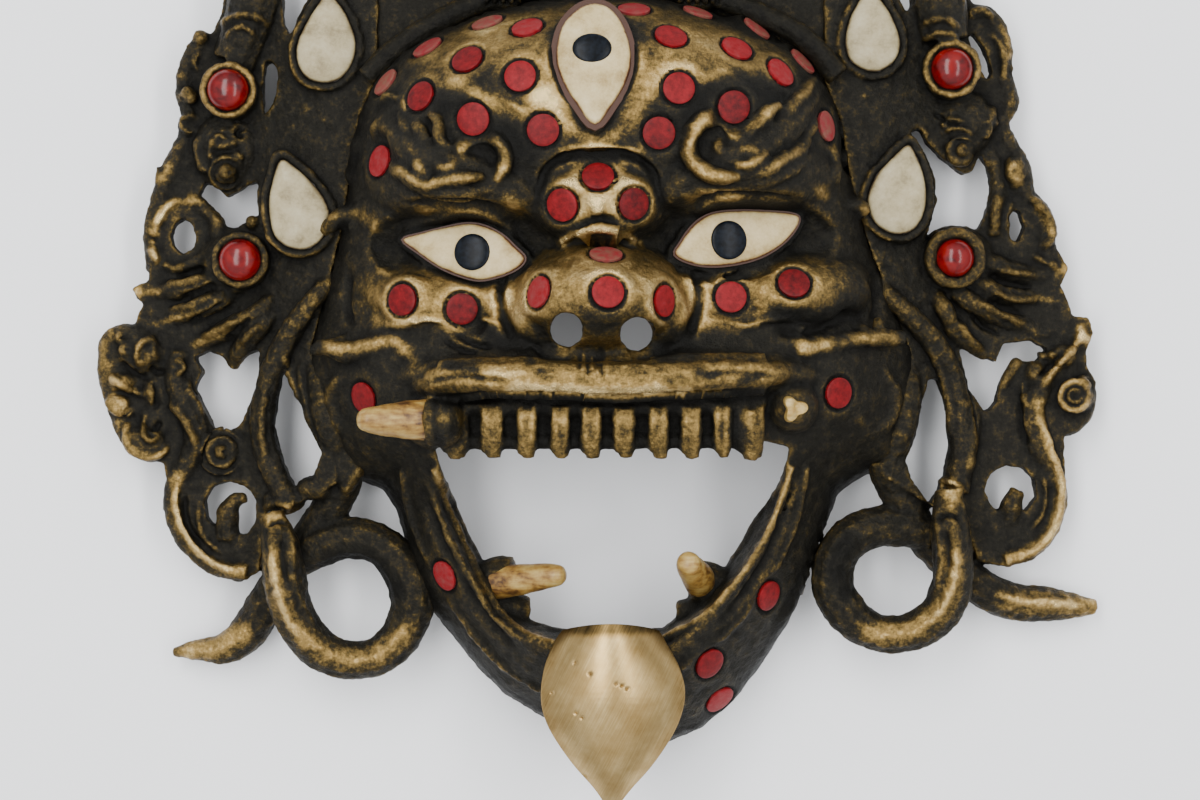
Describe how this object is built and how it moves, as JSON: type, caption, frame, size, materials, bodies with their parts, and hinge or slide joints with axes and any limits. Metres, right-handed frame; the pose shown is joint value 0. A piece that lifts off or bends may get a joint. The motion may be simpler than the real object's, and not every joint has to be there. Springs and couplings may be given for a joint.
{
  "type": "mahakala mask",
  "caption": "Cast brass Mahakala mask with openwork snake sides, a skull crown, coral discs and bone inlays, hollow behind.",
  "frame": {"origin": "middle of the mask's outline, on the flat plane of its back rim", "axes": "+Z out of the face, +Y up towards the crown, +X to the viewer's right"},
  "size_m": [0.3078, 0.3327, 0.0797],
  "materials": {
    "brass": "blackened patina, worn golden on the high points",
    "tongue": "brushed",
    "bone": "satin bone",
    "fang": "stained bone",
    "coral": "polished coral",
    "pupil": "glossy"
  },
  "bodies": {
    "root": {"casting": "brass", "tongue": "tongue", "cabochon_left_lower": "coral", "cabochon_left_upper": "coral", "cabochon_right_lower": "coral", "cabochon_right_upper": "coral", "disc_bridge_01": "coral", "disc_bridge_02": "coral", "disc_bridge_03": "coral", "disc_cheek_01": "coral", "disc_cheek_02": "coral", "disc_cheek_03": "coral", "disc_cheek_04": "coral", "disc_forehead_01": "coral", "disc_forehead_02": "coral", "disc_forehead_03": "coral", "disc_forehead_04": "coral", "disc_forehead_05": "coral", "disc_forehead_06": "coral", "disc_forehead_07": "coral", "disc_forehead_08": "coral", "disc_forehead_09": "coral", "disc_forehead_10": "coral", "disc_forehead_11": "coral", "disc_forehead_12": "coral", "disc_forehead_13": "coral", "disc_forehead_14": "coral", "disc_forehead_15": "coral", "disc_forehead_16": "coral", "disc_forehead_17": "coral", "disc_forehead_18": "coral", "disc_forehead_19": "coral", "disc_forehead_20": "coral", "disc_forehead_21": "coral", "disc_jaw_01": "coral", "disc_jaw_02": "coral", "disc_jaw_03": "coral", "disc_jaw_04": "coral", "disc_jaw_05": "coral", "disc_jaw_06": "coral", "disc_nose_01": "coral", "disc_nose_02": "coral", "disc_nose_03": "coral", "disc_nose_04": "coral", "drop_left_lower": "bone", "drop_left_upper": "bone", "drop_right_lower": "bone", "drop_right_upper": "bone", "eye_left": "bone", "eye_right": "bone", "eye_third": "bone", "pupil_left": "pupil", "pupil_right": "pupil", "pupil_third": "pupil", "fang_lower_left": "fang", "fang_lower_right": "fang", "fang_upper_left": "fang", "fang_upper_right_stub": "fang"}
  },
  "joints": []
}
